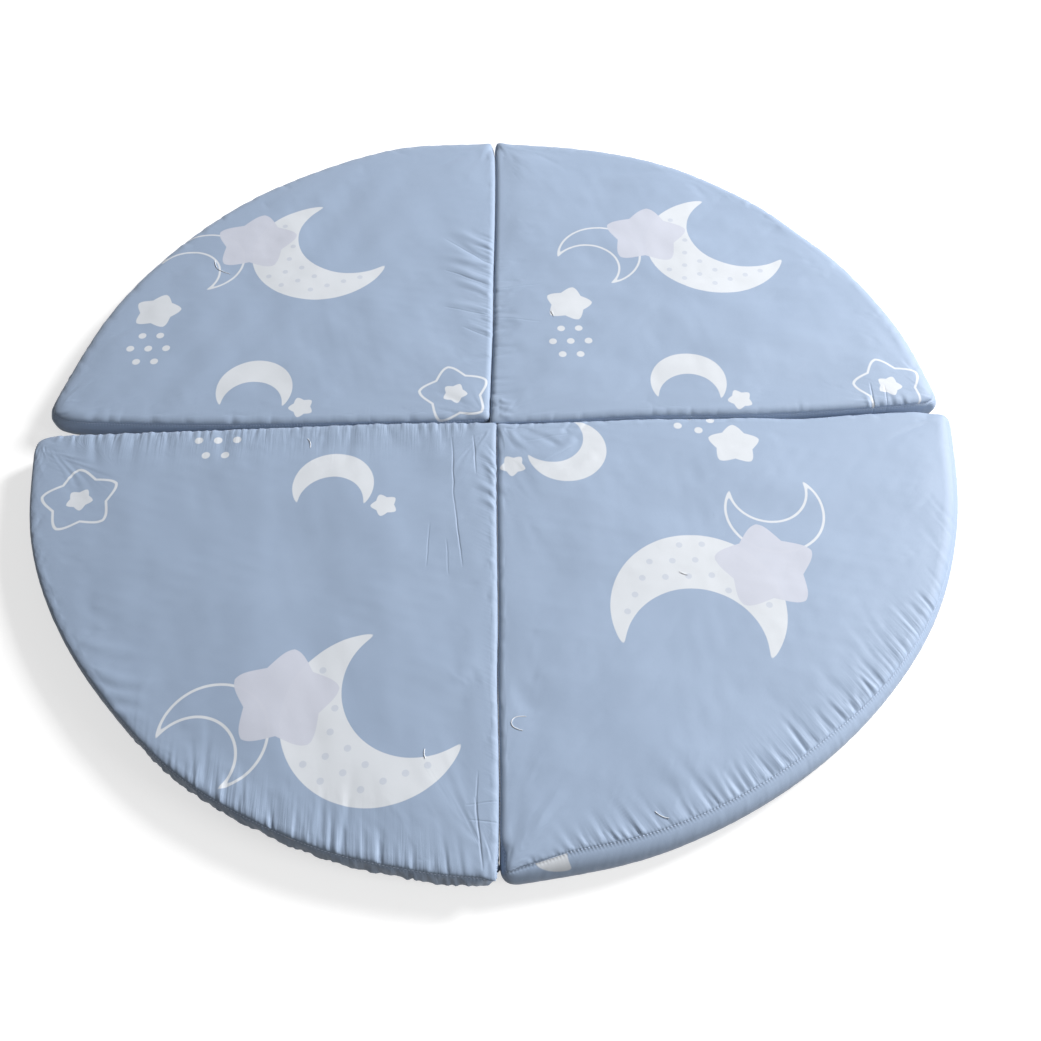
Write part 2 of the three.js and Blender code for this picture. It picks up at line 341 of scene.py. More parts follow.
def padOutline(node, padMiddle):
    # The ring at a CAD pad's widest height, spaced evenly and smoothed
    places = placesOf(node.data)
    height = places[:, 2].max()
    ring = places[(places[:, 2] > 0.42 * height) & (places[:, 2] < 0.58 * height), :2]
    ring = np.unique(ring.round(6), axis=0)
    turn = np.arctan2(ring[:, 1] - padMiddle[1], ring[:, 0] - padMiddle[0])
    ring = ring[np.argsort(turn)]
    closed = np.vstack([ring, ring[:1]])
    run = runAlong(closed)
    steps = np.arange(section["columns"]) / section["columns"] * run[-1]
    even = np.column_stack([np.interp(steps, run, closed[:, i]) for i in (0, 1)])
    return smoothRound(even, section["outlineBlur"]), steps


def runAlong(line):
    # The length along a row of places, up to each of them
    return np.concatenate([[0], np.cumsum(np.linalg.norm(np.diff(line, axis=0), axis=1))])


def smoothRound(values, spread):
    # A Gaussian blur along a closed row of values
    reach = int(spread * 4)
    weights = np.exp(-0.5 * (np.arange(-reach, reach + 1) / spread) ** 2)
    weights /= weights.sum()
    shifts = range(-reach, reach + 1)
    return sum(w * np.roll(values, k, axis=0) for k, w in zip(shifts, weights))


def columnFacts(pad, outline):
    # Which edge each column is on, how far out it lies and at what angle
    away = outline - np.array(mat["middle"])
    out = np.linalg.norm(away, axis=1)
    angle = np.degrees(np.arctan2(away[:, 1], away[:, 0])) % 360
    angle = np.where(angle < pad["angle"] - 45, angle + 360, angle)
    angle = np.where(angle > pad["angle"] + 135, angle - 360, angle)
    onRim = out > mat["radius"] - section["rimWidth"]
    first = ~onRim & (angle < pad["angle"] + 45)
    last = ~onRim & ~first
    return {"first": first, "rim": onRim, "last": last, "out": out, "angle": angle}


def apartFrom(steps, column):
    # The length round the outline from a column, the shorter way
    total = steps[1] * len(steps)
    return (steps - steps[column] + total / 2) % total - total / 2


def sewingRound(pad, facts, tips, steps):
    # The seam's tuck, drop and pinch and the shoulder's width at each column
    blur = section["edgeBlur"]
    shares = {e: smoothRound(facts[e].astype(float), blur) for e in ("first", "rim", "last")}
    sewn = {}
    for i, key in enumerate(sewingKeys):
        sewn[key] = sum(shares[e] * sewing[kind][i] for e, kind in zip(shares, pad["edges"]))
    if "rolled" in pad:
        angles, amounts = zip(*pad["rolled"])
        roll = smoothRound(np.interp(facts["angle"], angles, amounts) * facts["rim"], blur)
        for i, key in enumerate(sewingKeys):
            sewn[key] = sewn[key] * (1 - roll) + roll * sewing["rolled"][i]
    # The top panel's corners are sharper than the band's, so its seam stands out there
    for tip, point in zip(tips, pad["points"]):
        near = np.exp(-((apartFrom(steps, tip) / section["pointSpread"]) ** 2))
        sewn["tuck"] = sewn["tuck"] - point * near
    return sewn, shares


def cornersOf(outline, facts):
    # The columns where the outline bends most: the rim's start and end, and the mat's middle
    way = np.roll(outline, -1, axis=0) - np.roll(outline, 1, axis=0)
    turn = np.unwrap(np.arctan2(way[:, 1], way[:, 0]))
    bend = smoothRound(np.gradient(turn), section["edgeBlur"])
    bend[[0, -1]] = 0
    outer = facts["out"] > 0.9 * mat["radius"]
    early = facts["angle"] < facts["angle"][outer].mean()
    zones = (outer & early, outer & ~early, facts["out"] < 0.1)
    return [int(np.argmax(np.where(zone, bend, -1))) for zone in zones]


def padSection(sewn):
    # Inset and height of each ring at each column, from the underside's middle to the top's
    s = section
    tuck, seamHeight = sewn["tuck"], mat["padHeight"] - sewn["drop"]
    bulge, flat = s["bulgeHeight"], np.ones_like(tuck)
    slope = math.radians(s["bandSlope"])
    rings = []

    def ring(inset, height, region):
        rings.append((inset * flat, height * flat, region))

    for t in np.linspace(0, 1, s["undersideRings"]):
        ring(mat["incircle"] + (s["flatInset"] - mat["incircle"]) * t ** 0.6, 0, "underside")
    for t in np.linspace(0, 1, s["lowerShoulderRings"] + 1)[1:]:
        bend = t * math.pi / 2
        inset = s["flatInset"] - (s["flatInset"] - s["lowerSeamInset"]) * math.sin(bend)
        ring(inset, s["lowerSeamHeight"] * (1 - math.cos(bend)), "underside")
    for t in np.linspace(-1, 1, s["bandRings"] + 1)[1:]:
        bend = t * slope
        share = (1 - math.cos(bend)) / (1 - math.cos(slope))
        rise = abs(math.sin(bend)) / math.sin(slope)
        if t < 0:
            height = bulge - (bulge - s["lowerSeamHeight"]) * rise
            ring(s["lowerSeamInset"] * share, height, "band")
        else:
            ring(tuck * share, bulge + (seamHeight - bulge) * rise, "band")
    for t in np.linspace(0, 1, s["shoulderRings"] + 1)[1:]:
        bend = t * math.pi / 2
        inset = tuck + sewn["shoulder"] * (1 - math.cos(bend))
        ring(inset, seamHeight + sewn["drop"] * math.sin(bend), "top")
    start = tuck + sewn["shoulder"]
    for t in np.linspace(0, 1, s["crownRings"] + 1)[1:]:
        share = t ** s["crownCrowding"]
        height = mat["padHeight"] + mat["crown"] * (1 - (1 - share) ** 3)
        ring(start + (mat["incircle"] - start) * share, height, "top")
    insets, heights, regions = zip(*rings)
    return np.array(insets), np.array(heights), list(regions)


def along(facts, steps, edge, place):
    # The length round the outline at a place named by metres out or degrees
    chosen = np.where(facts[edge])[0]
    key = facts["angle"] if edge == "rim" else facts["out"]
    nearest = chosen[np.argmin(abs(key[chosen] - place))]
    return steps[nearest]


def pleatStarts(outline, steps, plan, heading):
    # Where on the outline a pleat through each place starts, if it runs at that heading
    way = np.roll(outline, -1, axis=0) - np.roll(outline, 1, axis=0)
    tangent = way / np.linalg.norm(way, axis=1)[:, None]
    inward = np.column_stack([-tangent[:, 1], tangent[:, 0]])
    offset = plan - outline[None]
    aside = (offset * tangent[None]).sum(axis=2)
    deep = (offset * inward[None]).sum(axis=2)
    ahead = (heading * tangent).sum(axis=1)
    across = np.maximum((heading * inward).sum(axis=1), pleat["leastSlant"])
    return steps[None] + aside - deep * (ahead / across)[None]


def headingOf(degrees):
    turn = np.radians(degrees)
    return np.stack([np.cos(turn), np.sin(turn)], axis=-1)


def ridges(rng, pitch, start, end, starts, depth, length, lift, total):
    # Uneven pleats from a seam inwards: a soft ridge with a sharper valley beside it
    raised = np.zeros(depth.shape)
    deep, beside, wide = pleat["valley"]
    at = start + pitch * rng.uniform(*pleat["firstAt"])
    while at < end:
        width = max(pitch * rng.uniform(*pleat["width"]), pleat["leastWidth"])
        reach = length * rng.uniform(*pleat["reach"])
        high = lift * rng.uniform(*pleat["height"])
        lean = rng.uniform(-pleat["lean"], pleat["lean"])
        bow = rng.uniform(-pleat["bow"], pleat["bow"])
        side = rng.choice((-1, 1))
        offset = starts - at + lean * depth + bow * depth ** 2
        offset = (offset + total / 2) % total - total / 2
        fade = softStep(0, pleat["riseWithin"], depth) * (1 - softStep(0.10 * reach, reach, depth))
        u = side * offset / (width * (1 + 0.8 * np.clip(depth / reach, 0, 1)))
        valley = deep * np.exp(-(((u - beside) / wide) ** 2))
        raised += high * fade * (pleat["ridge"] * np.exp(-(u ** 2)) - valley)
        at += pitch * rng.uniform(*pleat["spacing"])
    return raised


def edgeStrength(facts, edge, low, high):
    # 1 between two places of an edge, softly 0 elsewhere
    key = facts["angle"] if edge == "rim" else facts["out"]
    inside = facts[edge] & (key >= low) & (key <= high)
    return smoothRound(inside.astype(float), relief["endBlur"])


def waves(rng, x, y, size, count):
    # Soft noise: a sum of waves of about one size in all directions, between about -1 and 1
    total = np.zeros(x.shape)
    for _ in range(count):
        turn, phase = rng.uniform(0, 2 * math.pi, 2)
        k = 2 * math.pi / (size * rng.uniform(0.7, 1.4))
        total += np.sin(k * (x * math.cos(turn) + y * math.sin(turn)) + phase)
    return total / math.sqrt(count)


def creaseHeight(x, y, crease, sway):
    # A crease from one place to another: a ridge with a shallow valley on each side
    x0, y0, x1, y1, width, lift = crease
    run = math.hypot(x1 - x0, y1 - y0)
    ux, uy = (x1 - x0) / run, (y1 - y0) / run
    t = ((x - x0) * ux + (y - y0) * uy) / run
    bow = sway * run * t * (1 - t) * (1 + 1.5 * np.sin(5 * t))
    across = (x - x0) * uy - (y - y0) * ux - bow
    ends = softStep(-0.06, 0.12, t) * (1 - softStep(0.45, 1.15, t))
    share = (across / (width * (1 + 0.5 * np.clip(t, 0, 1)))) ** 2
    return lift * ends * (1 - 0.55 * share) * np.exp(-share * 0.8)


def gatherStrength(pad, facts, steps, topDepth, onTop, tips):
    # How much spare cloth there is at each place of the top
    gather = np.zeros(topDepth.shape)
    for edge, low, high, strength, length in pad["fine"]:
        fade = onTop * np.exp(-((topDepth / length) ** 1.5)) * strength
        gather = np.maximum(gather, fade * edgeStrength(facts, edge, low, high))
    for tip in tips:
        near = np.exp(-((apartFrom(steps, tip) / relief["cornerSpread"]) ** 2))
        gather *= 1 - relief["cornerShare"] * near
    return gather


def topRelief(rng, pad, outline, steps, plan, facts, topDepth):
    # Gathers and creases of the top panel, and its soft unevenness
    total = steps[1] * len(steps)
    lift = np.zeros(topDepth.shape)
    for edge, low, high, pitch, length, height, heading in pad["gathers"]:
        ends = sorted((along(facts, steps, edge, low), along(facts, steps, edge, high)))
        if ends[1] - ends[0] > total / 2:
            ends = [ends[1] - total, ends[0]]
        starts = pleatStarts(outline, steps, plan, headingOf(heading))
        lift += ridges(rng, pitch, *ends, starts, topDepth, length, height, total)
    if "plain" in pad:
        lift *= 1 - relief["plainShare"] * edgeStrength(facts, "rim", *pad["plain"])
    x, y = plan[:, :, 0] - mat["middle"][0], plan[:, :, 1] - mat["middle"][1]
    for crease in pad["creases"]:
        sway = rng.uniform(-relief["creaseSway"], relief["creaseSway"])
        lift += creaseHeight(x, y, crease, sway)
    inside = softStep(*relief["unevenIn"], topDepth)
    for size, count, height in relief["uneven"]:
        lift += inside * height * waves(rng, x, y, size, count)
    return lift


def bandRelief(rng, steps, climb, lowerSeam, seam):
    # Ruching of the side band, which fades towards both seams
    ripple = np.zeros(climb.shape)
    for size, count, share in relief["ruffleWaves"]:
        upwards = climb * relief["ruffleUpwards"]
        ripple += share * waves(rng, steps[None] + 0 * climb, upwards, size, count)
    rise = np.clip((climb - climb[lowerSeam]) / (climb[seam] - climb[lowerSeam]), 0, 1)
    return np.sin(np.pi * rise) ** 0.7 * relief["ruffle"] * ripple


def normalsOf(grid):
    sideways = np.roll(grid, -1, axis=1) - np.roll(grid, 1, axis=1)
    normal = np.cross(sideways, np.gradient(grid, axis=0))
    normal /= np.maximum(np.linalg.norm(normal, axis=2, keepdims=True), 1e-12)
    normal[0], normal[-1] = (0, 0, -1), (0, 0, 1)
    return normal


def keepInside(moved, grid, outline, outward, onRim):
    # Nothing crosses the outline where a neighbour lies, or the floor
    reach = ((grid[:, :, :2] - outline[None]) * outward[None]).sum(axis=2)
    beyond = ((moved[:, :, :2] - outline[None]) * outward[None]).sum(axis=2)
    excess = np.maximum(beyond - np.maximum(reach, 0), 0)
    excess = excess * (1 - np.clip(onRim * section["freeRim"], 0, 1))[None]
    moved[:, :, :2] -= excess[:, :, None] * outward[None]
    moved[:, :, 2] = np.maximum(moved[:, :, 2], 0)


def pleatHeadings(pad, facts, shares):
    # The way that the finest pleats run at each column
    angles, turns = zip(*pad["rimHeadings"])
    onRim = headingOf(np.interp(facts["angle"], angles, turns))
    fromFirst, fromLast = (headingOf(h) for h in pad["headings"])
    heading = shares["rim"][:, None] * onRim
    heading += shares["first"][:, None] * fromFirst + shares["last"][:, None] * fromLast
    return heading


def makePad(name):
    pad = pads[name]
    rng = np.random.default_rng(pad["seed"])
    turn = math.radians(pad["angle"] + 45)
    way = np.array([math.cos(turn), math.sin(turn)])
    middle = np.array(mat["middle"]) + mat["padMiddle"] * way
    outline, steps = padOutline(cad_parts[name], middle)
    total = steps[1] * len(steps)
    facts = columnFacts(pad, outline)
    tips = cornersOf(outline, facts)
    sewn, shares = sewingRound(pad, facts, tips, steps)
    insets, heights, regions = padSection(sewn)
    region = np.array(regions)
    plan = outline[None] + (middle - outline)[None] * (insets / mat["incircle"])[:, :, None]
    grid = np.dstack([plan, heights])

    # Lengths over the cloth, up from the lower seam and in from the top seam
    seam = regions.index("top") - 1
    lowerSeam = regions.index("band") - 1
    step = np.hypot(np.diff(insets, axis=0), np.diff(heights, axis=0))
    climb = np.vstack([np.zeros(len(steps)), np.cumsum(step, axis=0)])
    depth = climb - climb[seam]
    topDepth = np.maximum(depth, 0)
    onTop = (region == "top")[:, None]
    onBand = (region == "band")[:, None]

    # The relief of the cloth, and the pull of the stitched seams
    lift = topRelief(rng, pad, outline, steps, plan, facts, topDepth) * onTop
    ruffle = sum(edgeStrength(facts, "rim", *row[:2]) * row[2] for row in pad["ruffle"])
    lift += onBand * ruffle * bandRelief(rng, steps, climb, lowerSeam, seam)
    for line, strength in ((seam, sewn["pinch"]), (lowerSeam, section["lowerPinch"])):
        pull = np.exp(-(((climb - climb[line]) / section["seamPinchWidth"]) ** 2))
        lift -= section["seamPinch"] * pull * strength
    lift[region == "underside"] *= section["undersideShare"]

    normal = normalsOf(grid)
    gather = gatherStrength(pad, facts, steps, topDepth, onTop, tips) + onBand * ruffle
    moved = grid + normal * lift[:, :, None]
    moved += normal * settleCloth(name, moved, normal, region, depth, gather)[:, :, None]
    outward = -(middle - outline) / np.linalg.norm(middle - outline, axis=1)[:, None]
    keepInside(moved, grid, outline, outward, shares["rim"])

    # Cloth coordinates for the print and weave, in metres
    flat = regions.index("top") + section["shoulderRings"] - 1
    folded = np.maximum(depth[flat] - topDepth, 0) - np.maximum(insets[flat] - insets, 0)
    spare = np.maximum(np.where(onTop, folded, 0), 0)
    away = plan - np.array(mat["middle"])
    cos, sin = (f(math.radians(pad["printTurn"])) for f in (math.cos, math.sin))
    top = (away + outward[None] * spare[:, :, None]) @ np.array([[cos, sin], [-sin, cos]])
    slant = printed["bandSlant"] * steps
    band = np.dstack([steps + 0 * depth, slant - climb + climb[lowerSeam]])
    cloth = {
        "top": extended(top + np.array(pad["printShift"]), 0),
        "band": extended(band + np.array(pad["bandShift"]), total),
        "underside": extended(away * np.array([-1, 1]), 0),
    }

    # Coordinates for the finest pleats, which are in the material
    starts = pleatStarts(outline, steps, plan, pleatHeadings(pad, facts, shares))
    pleats = extended(np.dstack([starts, depth]), total)
    piece = wrapGrid(name + "_cover", moved, region, cloth, pleats, gather)
    return piece, moved[seam], normal[seam], moved[lowerSeam], normal[lowerSeam]


# The cloth of the top and the band settles in a simulation, held at its seams
settle = {
    "columnStep": 3,
    "bandStep": 3,
    "crownStep": 2,
    "heldIn": (0.03, 0.11),  # metres in from the top seam: from here on held, and fully held
    "frames": 18,
    "broad": 5,  # in picked columns: wider swellings are left to the foam's own shape
    "most": 0.0014,
}
clothSettings = {
    "quality": 6,
    "mass": 0.15,
    "tension_stiffness": 20,
    "compression_stiffness": 20,
    "shear_stiffness": 8,
    "bending_stiffness": 0.02,
    "vertex_group_mass": "held",
    "vertex_group_shrink": "spare",
    "shrink_min": 0,
    "shrink_max": -0.055,  # below 0, this is extra cloth where the gathers are strongest
    "use_pressure": True,
    "uniform_pressure_force": 0.3,
}


def settleCloth(name, places, normal, region, depth, gather):
    # How far each place of the finished grid moves when the cloth settles
    rings, columns = places.shape[:2]
    low = region.tolist().index("band") - 1
    seam = region.tolist().index("top") - 1
    high = int(np.argmax(depth[:, 0] > settle["heldIn"][1])) + 2
    flat = seam + section["shoulderRings"]
    rows = [*range(low, seam, settle["bandStep"]), *range(seam, flat, settle["bandStep"])]
    rows = sorted({*rows, *range(flat, high, settle["crownStep"])})
    picked = np.arange(0, columns, settle["columnStep"])
    count = len(picked)
    start = places[rows][:, picked]

    bm = bmesh.new()
    last = len(rows) - 1
    bmesh.ops.create_grid(bm, x_segments=count, y_segments=last, size=1, calc_uvs=False)
    for v in bm.verts:
        column = round((v.co.x + 1) / 2 * count) % count
        row = round((v.co.y + 1) / 2 * last)
        v.co = start[row, column]
    bmesh.ops.remove_doubles(bm, verts=bm.verts, dist=1e-7)
    mesh = newMesh(bm, name + "_settling")
    cloth = newObject(name + "_settling", mesh)

    # Each vertex's row and column, found again after the weld
    spots = [(r, c) for r in range(len(rows)) for c in range(count)]
    keys = {tuple(np.float32(start[spot])): spot for spot in spots}
    at = np.array([keys[tuple(np.float32(v.co))] for v in mesh.vertices])
    held = softStep(*settle["heldIn"], depth[rows][:, picked])
    held[rows.index(low)] = 1
    held[rows.index(seam)] = 1
    spare = np.clip(gather[rows][:, picked], 0, 1)
    for groupName, weights in (("held", held), ("spare", spare)):
        group = cloth.vertex_groups.new(name=groupName)
        for i, (r, c) in enumerate(at):
            group.add([i], float(weights[r, c]), "REPLACE")

    modifier = cloth.modifiers.new("settle", "CLOTH")
    for key, value in clothSettings.items():
        setattr(modifier.settings, key, value)
    modifier.settings.effector_weights.gravity = 0
    modifier.collision_settings.use_collision = False
    modifier.point_cache.frame_end = settle["frames"]
    scene = bpy.context.scene
    for frameNumber in range(1, settle["frames"] + 1):
        scene.frame_set(frameNumber)
    shape = cloth.evaluated_get(bpy.context.evaluated_depsgraph_get()).data
    moved = np.zeros(start.shape)
    moved[at[:, 0], at[:, 1]] = placesOf(shape) - start[at[:, 0], at[:, 1]]
    scene.frame_set(1)
    bpy.data.objects.remove(cloth)
    bpy.data.meshes.remove(mesh)

    # Only the move along the surface's normal is kept, without wide swellings, and capped
    out = (moved * normal[rows][:, picked]).sum(axis=2)
    least, most = out.min() * 1000, out.max() * 1000
    print(f"  settled {name}: from {least:.1f} to {most:.1f} mm, {len(at)} points")
    out -= smoothRound(out.T, settle["broad"]).T
    out = np.clip(out * (1 - held), -settle["most"], settle["most"])
    wide = np.concatenate([out, out[:, :1]], axis=1)
    ends = np.append(picked, columns)
    fine = np.array([np.interp(np.arange(columns), ends, row) for row in wide])
    total = np.zeros((rings, columns))
    for column in range(columns):
        total[low:high, column] = np.interp(np.arange(low, high), rows, fine[:, column])
    return total


def extended(values, shift):
    # Values at each column, and the first column again, one round further on
    again = values[:, :1].copy()
    again[:, :, 0] += shift
    return np.concatenate([values, again], axis=1)


def wrapGrid(name, places, region, cloth, pleats, gather):
    # A flat grid is wrapped round the pad, and its edges and ends are welded
    rings, columns = places.shape[:2]
    bm = bmesh.new()
    bmesh.ops.create_grid(bm, x_segments=columns, y_segments=rings - 1, size=1, calc_uvs=False)
    mesh = newMesh(bm, name)
    flat = placesOf(mesh)
    column = np.rint((flat[:, 0] + 1) / 2 * columns).astype(int)
    ring = np.rint((flat[:, 1] + 1) / 2 * (rings - 1)).astype(int)
    at = (ring, column % columns)
    mesh.vertices.foreach_set("co", places[at].astype(np.float32).ravel())
    strength = mesh.attributes.new("gather", "FLOAT", "POINT")
    strength.data.foreach_set("value", gather[at].astype(np.float32))
    corners = np.zeros(len(mesh.loops), np.int32)
    mesh.loops.foreach_get("vertex_index", corners)
    faceRing = np.repeat(ring[corners].reshape(-1, 4).min(axis=1) + 1, 4)
    uv = np.zeros((len(corners), 2))
    for key, values in cloth.items():
        chosen = (region == key)[faceRing]
        own = corners[chosen]
        uv[chosen] = values[ring[own], column[own]]
    fine = pleats[ring[corners], column[corners]]
    for mapName, values in (("cloth", uv), ("pleats", fine)):
        layer = mesh.uv_layers.new(name=mapName)
        layer.data.foreach_set("uv", values.astype(np.float32).ravel())
    bm = bmesh.new()
    bm.from_mesh(mesh)
    bmesh.ops.remove_doubles(bm, verts=bm.verts, dist=1e-7)
    for pole in (places[0, 0], places[-1, 0]):
        near = [v for v in bm.verts if (v.co - Vector(pole)).length < 1e-5]
        bmesh.ops.pointmerge(bm, verts=near, merge_co=Vector(pole))
    for face in bm.faces:
        face.smooth = True
    bm.to_mesh(mesh)
    bm.free()
    return newObject(name, mesh)


# ---- the stitches ----
stitch = {"pitch": 0.0042, "length": 0.0027, "thickness": 0.0009, "proud": 0.0003}


def makeStitches(name, line, normals):
    # One row of stitches along a seam
    bm = bmesh.new()
    bmesh.ops.create_uvsphere(bm, u_segments=6, v_segments=4, radius=0.5)
    turn = Matrix.Rotation(math.pi / 2, 4, "Y")
    bmesh.ops.transform(bm, matrix=turn, verts=bm.verts)
    one = newMesh(bm, "stitch")
    closed = np.vstack([line, line[:1]])
    run = runAlong(closed)
    bm = bmesh.new()
    for at in np.arange(0, run[-1], stitch["pitch"]):
        i = min(int(np.searchsorted(run, at, side="right")) - 1, len(line) - 1)
        share = (at - run[i]) / (run[i + 1] - run[i])
        place = Vector(closed[i] * (1 - share) + closed[i + 1] * share)
        forward = Vector(closed[i + 1] - closed[i]).normalized()
        up = Vector(normals[i])
        up = (up - forward * up.dot(forward)).normalized()
        pose = Matrix((forward, up.cross(forward), up)).transposed().to_4x4()
        pose.translation = place + up * stitch["proud"]
        size = Matrix.Diagonal((stitch["length"], stitch["thickness"], stitch["thickness"], 1))
        copy = one.copy()
        copy.transform(pose @ size)
        bm.from_mesh(copy)
        bpy.data.meshes.remove(copy)
    bpy.data.meshes.remove(one)
    return newObject(name, newMesh(bm, name))


# Loose ends of thread on the cloth of each pad: points in metres from the mat's middle
thread = {"radius": 0.00045, "height": 0.0004, "above": 0.03}
looseThreads = {
    "pad_back_left": (((-0.451, 0.342), (-0.449, 0.330), (-0.440, 0.318), (-0.423, 0.311)),),
    "pad_front_left": (
        ((-0.088, -0.502), (-0.090, -0.508), (-0.087, -0.514)),
        ((-0.268, -0.030), (-0.262, -0.037), (-0.263, -0.046)),
    ),
    "pad_front_right": (
        ((0.032, -0.463), (0.020, -0.462), (0.013, -0.469), (0.016, -0.478), (0.027, -0.481)),
        ((0.175, -0.583), (0.181, -0.590), (0.190, -0.591)),
        ((0.236, -0.266), (0.240, -0.270), (0.246, -0.271)),
    ),
    "pad_back_right": (((0.087, 0.214), (0.090, 0.209), (0.091, 0.203)),),
}


def makeThreads(name, runs, height):
    # Short curved ends of thread that lie on the cloth
    data = bpy.data.curves.new(name, "CURVE")
    data.dimensions = "3D"
    data.bevel_depth = thread["radius"]
    data.bevel_resolution = 1
    data.resolution_u = 4
    for run in runs:
        spline = data.splines.new("NURBS")
        spline.points.add(len(run) - 1)
        for point, (x, y) in zip(spline.points, run):
            x, y = x + mat["middle"][0], y + mat["middle"][1]
            point.co = (x, y, height(x, y) + thread["height"], 1)
        spline.use_endpoint_u = True
        spline.order_u = 3
    curve = newObject(name + "_run", data)
    bpy.context.view_layer.update()
    mesh = bpy.data.meshes.new_from_object(curve)
    mesh.name = name
    bpy.data.objects.remove(curve)
    bpy.data.curves.remove(data)
    return newObject(name, mesh)


# ---- materials ----
def operation(kind, turned=False):
    # A method that adds a Math node for two values
    def method(self, other):
        values = (other, self) if turned else (self, other)
        return self.shader.maths(kind, *values)

    return method


class Wire:
    # One output of a shader node that takes part in sums
    def __init__(self, shader, socket):
        self.shader = shader
        self.socket = socket

    __add__ = __radd__ = operation("ADD")
    __mul__ = __rmul__ = operation("MULTIPLY")
    __sub__ = operation("SUBTRACT")
    __rsub__ = operation("SUBTRACT", turned=True)
    __truediv__ = operation("DIVIDE")

    def __neg__(self):
        return self * -1

    def __abs__(self):
        return self.shader.maths("ABSOLUTE", self)


class Shader:
    # The nodes of a material or world
    def __init__(self, owner):
        owner.use_nodes = True
        self.owner = owner
        self.tree = owner.node_tree
        self.tree.nodes.clear()

    def add(self, kind, settings, inputs, output=0):
        node = self.tree.nodes.new(kind)
        for key, value in settings.items():
            setattr(node, key, value)
        for key, value in inputs.items():
            if isinstance(value, Wire):
                self.tree.links.new(value.socket, node.inputs[key])
            else:
                node.inputs[key].default_value = value
        return Wire(self, node.outputs[output]) if node.outputs else None

    def finish(self, surface, kind="ShaderNodeOutputMaterial"):
        self.add(kind, {}, {"Surface": surface})
        return self.owner

    def maths(self, kind, *values, clamp=False):
        settings = {"operation": kind, "use_clamp": clamp}
        return self.add("ShaderNodeMath", settings, dict(enumerate(values)))

    def split(self, vector):
        x = self.add("ShaderNodeSeparateXYZ", {}, {"Vector": vector})
        return x, Wire(self, x.socket.node.outputs["Y"])

    def noise(self, vector, scale, detail):
        values = {"Vector": vector, "Scale": scale, "Detail": detail}
        return self.add("ShaderNodeTexNoise", {}, values)

    def mix(self, share, a, b):
        # Inputs 6 and 7 and output 2 are the ones for colours
        settings = {"data_type": "RGBA"}
        return self.add("ShaderNodeMix", settings, {"Factor": share, 6: a, 7: b}, output=2)


# The print is plain moons and stars. Places and sizes are metres within one repeat.
printed = {
    "repeat": 0.64,
    "bandSlant": 0.03,  # how far off the cloth's grain the side bands are cut
    "line": 0.0034,
    "edge": 0.0007,  # how soft a printed edge is
    # Shapes, as shares of a motif's size
    "biteAt": (0.52, 0.16),
    "bite": 0.80,
    "moonBlunt": 0.12,
    "starNotch": 0.60,
    "starTip": 0.86,
    "starBlunt": 0.25,
    "speckPitch": 0.60,
    "speckSize": 0.13,
    # Dots inside a moon, in metres
    "dotPitch": 0.027,
    "dotSize": 0.0043,
    "dotMargin": 0.009,
    "opacity": 0.94,
    "white": (0.580, 0.605, 0.640, 1),
    "lilac": (0.490, 0.510, 0.585, 1),
    "dot": (0.480, 0.515, 0.580, 1),
    "ground": (0.284, 0.360, 0.486, 1),
    "groundWorn": (0.304, 0.382, 0.510, 1),
}

# kind, place, size, turn in degrees, colour
motifs = (
    ("moonLine", (0.085, 0.395), 0.066, 215, "white"),
    ("moon", (0.275, 0.415), 0.112, 20, "white"),
    ("moonDots", (0.275, 0.415), 0.112, 20, "dot"),
    ("star", (0.165, 0.440), 0.080, 12, "lilac"),
    ("starLine", (0.495, 0.105), 0.062, 30, "white"),
    ("star", (0.495, 0.105), 0.022, 66, "white"),
    ("star", (0.030, 0.285), 0.044, 5, "white"),
    ("specks", (0.030, 0.205), 0.045, 0, "white"),
    ("moon", (0.200, 0.120), 0.056, 250, "white"),
    ("star", (0.272, 0.084), 0.022, 40, "white"),
)


def motifPlace(shader, x, y, at, turn):
    # A motif's own coordinates, which repeat with the print
    half = printed["repeat"] / 2
    dx = shader.maths("WRAP", x - at[0], half, -half)
    dy = shader.maths("WRAP", y - at[1], half, -half)
    cos, sin = math.cos(math.radians(turn)), math.sin(math.radians(turn))
    return dx * cos + dy * sin, dy * cos - dx * sin


def circle(shader, dx, dy, radius):
    return shader.maths("SQRT", dx * dx + dy * dy) - radius


def moonShape(shader, dx, dy, size):
    # A disc with a smaller disc cut from its side
    whole = circle(shader, dx, dy, size)
    aside, up = printed["biteAt"]
    bite = circle(shader, dx - size * aside, dy - size * up, size * printed["bite"])
    return shader.maths("SMOOTH_MAX", whole, -bite, size * printed["moonBlunt"])


def starShape(shader, dx, dy, size):
    # Five blunt arms: the distance to one arm's side, folded round the middle
    fold = math.pi / 5
    turn = shader.maths("WRAP", shader.maths("ARCTAN2", dy, dx), fold, -fold)
    far = shader.maths("SQRT", dx * dx + dy * dy)
    tip = far * shader.maths("COSINE", turn)
    side = far * abs(shader.maths("SINE", turn))
    deep = printed["starNotch"] * size
    notch = (deep * math.cos(fold), deep * math.sin(fold))
    run = (notch[0] - size, notch[1])
    length = math.hypot(*run)
    flank = (tip - size) * (run[1] / length) - side * (run[0] / length)
    blunt = size * printed["starBlunt"]
    return shader.maths("SMOOTH_MAX", flank, far - size * printed["starTip"], blunt)


def dotField(shader, dx, dy, pitch, radius):
    # Rows of dots, each second row shifted: the distance to the nearest one, and its own place
    row = shader.maths("FLOOR", dy / pitch + 0.5)
    shifted = dx + shader.maths("WRAP", row, 2, 0) * (pitch / 2)
    u = shader.maths("WRAP", shifted, pitch / 2, -pitch / 2)
    v = dy - row * pitch
    return circle(shader, u, v, radius), dx - u, dy - v


